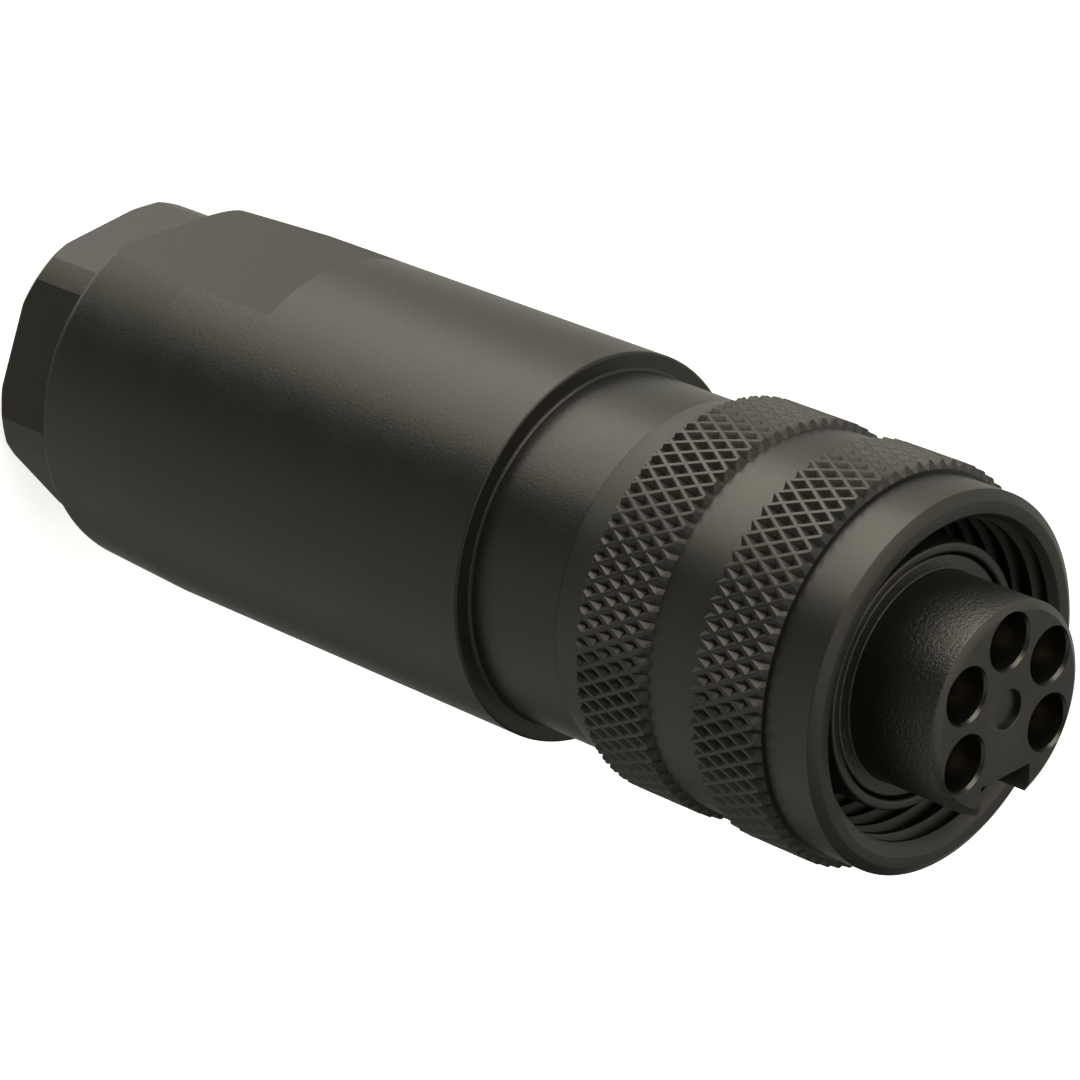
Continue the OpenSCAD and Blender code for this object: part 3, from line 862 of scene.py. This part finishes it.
class CONNECTOR_OT_clamp_nut(bpy.types.Operator):
    """Makes the hexagon clamp nut with its turned corners and threaded shank"""

    bl_idname = "connector.clamp_nut"
    bl_label = "Clamp Nut"

    def execute(self, context):
        group = context.scene.connector_nut
        s = Millimetres(group)
        bm = bmesh.new()
        lathe(bm, rounded([
            (s.cable_bore, NUT_LOW, s.cable_round),
            (s.corner_radius - s.bevel, NUT_LOW, s.edge),
            (s.corner_radius, NUT_LOW + s.bevel, s.edge),
            (s.corner_radius, NUT_LOW + s.head_length, s.edge),
            (s.cable_bore, NUT_LOW + s.head_length, 0),
        ]))
        hexagon = bmesh.new()
        across = s.flat_distance / math.cos(TURN / 12)
        depth = s.head_length + 2 * PAST
        turned = Matrix.Rotation(group.first_flat, 4, "Z")
        raised = Matrix.Translation((0, 0, NUT_LOW + s.head_length / 2))
        bmesh.ops.create_cone(hexagon, cap_ends=True, segments=6, radius1=across, radius2=across,
                              depth=depth, matrix=raised @ turned)
        carve(bm, hexagon, "INTERSECT")
        shank = bmesh.new()
        start = NUT_LOW + s.head_length - s.edge
        lathe(shank, rounded([
            (s.cable_bore, start, 0),
            (s.thread_root, start, 0),
            (s.thread_root, NUT_HIGH, s.edge),
            (s.cable_bore, NUT_HIGH, s.edge),
        ]))
        join(bm, shank)
        # The thread's ridge: half widths at its foot and crest, and its foot just inside the shank
        ridge = bmesh.new()
        foot = s.thread_pitch * 0.42
        crest = s.thread_pitch * 0.1
        sunk = s.thread_root - 0.05
        low = start + s.edge + foot
        outline = [(sunk, low - foot), (s.thread_crest, low - crest),
                   (s.thread_crest, low + crest), (sunk, low + foot)]
        turns = (NUT_HIGH - s.edge - foot - low) / s.thread_pitch
        helix(ridge, outline, s.thread_pitch, turns, ROUND_STEPS // 2, sunk)
        join(bm, ridge)
        finish_piece(bm, "clamp_nut_moulding", "clamp_nut", "nut_plastic", "clamp_nut")
        return {"FINISHED"}


class CONNECTOR_OT_inner_pieces(bpy.types.Operator):
    """Gives the solids inside the connector their finishes"""

    bl_idname = "connector.inner_pieces"
    bl_label = "Inner Pieces"

    def execute(self, context):
        slots = {
            "insert_plastic": ("contact_carrier",),
            "rubber": ("insert_o_ring", "face_seal", "cable_seal"),
            "inner_plastic": ("spacer_half_1", "spacer_half_2", "clamp_cage"),
            "washer_steel": ("thrust_washer",),
        }
        for slot, nodes in slots.items():
            for node in nodes:
                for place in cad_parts[node].material_slots:
                    place.material = finishes()[slot]
        return {"FINISHED"}


class CONNECTOR_OT_stage(bpy.types.Operator):
    """Makes the camera, the pale sweep that the connector stands on and the light"""

    bl_idname = "connector.stage"
    bl_label = "Stage"

    def execute(self, context):
        scene = context.scene
        scene.view_settings.view_transform = "Standard"
        self.camera(scene)
        self.sweep(scene)
        self.light(scene)
        return {"FINISHED"}

    def camera(self, scene):
        """The camera at the photograph's angle, rolled so that the connector lies across the picture."""
        camera = bpy.data.objects.new("camera", bpy.data.cameras.new("camera"))
        camera.data.lens = 160.82
        camera.data.sensor_width = 36
        camera.data.clip_start = 0.01
        camera.location = Vector((128.57, 204.57, 243.64)) * MM
        aim = Vector((-1.861, -1.208, 40.283)) * MM
        roll = Quaternion(AXIS, math.radians(111.70))
        camera.rotation_mode = "QUATERNION"
        camera.rotation_quaternion = (aim - camera.location).to_track_quat("-Z", "Y") @ roll
        scene.collection.objects.link(camera)
        scene.camera = camera

    def sweep(self, scene):
        """A round floor that curves up into a wall; only the camera sees it, so it dims no lamp."""
        # Metres: the wall's radius, the curve between floor and wall, and the wall's top
        radius = 1.3
        cove = 0.5
        top = 1.6
        arc_steps = 12
        bm = bmesh.new()
        centre = Vector((radius - cove, cove))
        arc = [centre + Matrix.Rotation(math.pi / 2 * k / arc_steps, 2) @ Vector((0, -cove))
               for k in range(arc_steps + 1)]
        outline = [Vector((0, 0)), *arc, Vector((radius, top))]
        verts = [bm.verts.new((r, 0, z)) for r, z in outline]
        edges = [bm.edges.new(pair) for pair in zip(verts, verts[1:])]
        bmesh.ops.spin(bm, geom=verts + edges, axis=AXIS, cent=(0, 0, 0), angle=TURN,
                       steps=ROUND_STEPS // 2, use_merge=True)
        bmesh.ops.remove_doubles(bm, verts=bm.verts, dist=WELD)
        bmesh.ops.recalc_face_normals(bm, faces=bm.faces)
        mesh = bpy.data.meshes.new("sweep")
        bm.to_mesh(mesh)
        bm.free()
        mesh.shade_smooth()
        material, shader = new_material("sweep_paper")
        colour = scene.connector_finish.floor
        fibres = shader.noise(shader.place(), 3.0, 3.0)
        # The paper is lifted to white where it is looked at, and keeps the connector's shadow
        paths = shader.tree.nodes.new("ShaderNodeLightPath").outputs
        kinds = ("Is Camera Ray", "Is Glossy Ray", "Is Transmission Ray")
        seen = sum(Field(shader, paths[kind]) for kind in kinds)
        shader.finish(
            Base_Color=shader.blend(fibres, shade(colour, 0.995), shade(colour, 1.005)),
            Roughness=(fibres - 0.5) * 0.02 + 0.9,
            Specular_IOR_Level=0.0,
            Emission_Color=shader.blend(seen, (0, 0, 0), (1, 1, 1)),
            Emission_Strength=0.75)
        mesh.materials.append(material)
        sweep = bpy.data.objects.new("sweep", mesh)
        scene.collection.objects.link(sweep)
        sweep.visible_glossy = False
        sweep.visible_diffuse = False
        sweep.visible_transmission = False
        sweep.visible_shadow = False

    def light(self, scene):
        """A soft lamp overhead, one tall panel, and a dim room with five paler parts."""
        warm = scene.connector_finish.lamp
        overhead = bpy.data.lights.new("overhead", "SUN")
        overhead.energy = 0.8
        overhead.angle = math.radians(90)
        overhead.color = warm
        lamp = bpy.data.objects.new("overhead", overhead)
        lamp.rotation_euler = (math.radians(8), math.radians(6), 0)
        scene.collection.objects.link(lamp)
        # The panel stands low beside the connector, where the highlights along it come from
        middle = Vector((0, 0, 42)) * MM
        distance = 0.42
        panel = bpy.data.lights.new("panel", "AREA")
        panel.shape = "RECTANGLE"
        panel.size = 0.44
        panel.size_y = 0.6
        panel.energy = 2.2
        panel.color = warm
        lamp = bpy.data.objects.new("panel", panel)
        towards = self.towards(4, -0.174)
        lamp.location = middle + towards * distance
        lamp.rotation_mode = "QUATERNION"
        lamp.rotation_quaternion = towards.to_track_quat("Z", "Y")
        lamp.visible_camera = False
        scene.collection.objects.link(lamp)
        world = bpy.data.worlds.new("room")
        world.use_nodes = True
        scene.world = world
        shader = Shader(world.node_tree)
        direction = shader.node("ShaderNodeTexCoord", {}, {}, "Generated")
        level = 0.01
        # Azimuth in degrees, height, cosines at which the part starts and is full, and its strength
        parts = ((-75, -0.4, 0.1, 0.9, 0.57), (125, -0.4, 0.4, 0.95, 0.5),
                 (-20, -0.85, 0.85, 0.97, 0.89), (0, 1.0, 0.0, 0.5, 0.16), (5, 0.6, 0.75, 0.95, 0.9))
        for azimuth, height, start, full, strength in parts:
            near = shader.node("ShaderNodeVectorMath", {"operation": "DOT_PRODUCT"}, {
                0: direction, 1: self.towards(azimuth, height)}, "Value")
            level = level + shader.ramp(near, start, full, 0.0, strength)
        background = shader.node("ShaderNodeBackground", {}, {"Strength": level, "Color": (*warm, 1)})
        shader.node("ShaderNodeOutputWorld", {}, {"Surface": background})

    def towards(self, azimuth, height):
        """Direction of a given azimuth in degrees and a given rise."""
        level = math.sqrt(1 - height * height)
        angle = math.radians(azimuth)
        return Vector((level * math.cos(angle), level * math.sin(angle), height))


OPERATORS = (
    CONNECTOR_OT_stage,
    CONNECTOR_OT_housing,
    CONNECTOR_OT_coupling_ring,
    CONNECTOR_OT_front_sleeve,
    CONNECTOR_OT_contact_insert,
    CONNECTOR_OT_contacts,
    CONNECTOR_OT_clamp_nut,
    CONNECTOR_OT_inner_pieces,
)

GROUPS = {
    "connector_housing": ConnectorHousing,
    "connector_ring": ConnectorRing,
    "connector_front": ConnectorFront,
    "connector_nut": ConnectorNut,
    "connector_finish": ConnectorFinish,
}


class CONNECTOR_PT_panel(bpy.types.Panel):
    """Lists the connector's pieces, sizes and colours"""

    bl_idname = "CONNECTOR_PT_panel"
    bl_label = "Round Cable Connector"
    bl_space_type = "VIEW_3D"
    bl_region_type = "UI"
    bl_category = "Connector"

    def draw(self, context):
        for operator in OPERATORS:
            self.layout.operator(operator.bl_idname)
        for name in GROUPS:
            box = self.layout.box()
            group = getattr(context.scene, name)
            for key in group.bl_rna.properties.keys():
                if key not in ("rna_type", "name"):
                    box.prop(group, key)


CLASSES = (*GROUPS.values(), *OPERATORS, CONNECTOR_PT_panel)


def register():
    for item in CLASSES:
        bpy.utils.register_class(item)
    for name, group in GROUPS.items():
        setattr(bpy.types.Scene, name, bpy.props.PointerProperty(type=group))


def unregister():
    for name in GROUPS:
        delattr(bpy.types.Scene, name)
    for item in reversed(CLASSES):
        bpy.utils.unregister_class(item)


def main():
    register()
    for operator in OPERATORS:
        group, name = operator.bl_idname.split(".")
        getattr(getattr(bpy.ops, group), name)()


if __name__ == "__main__":
    main()
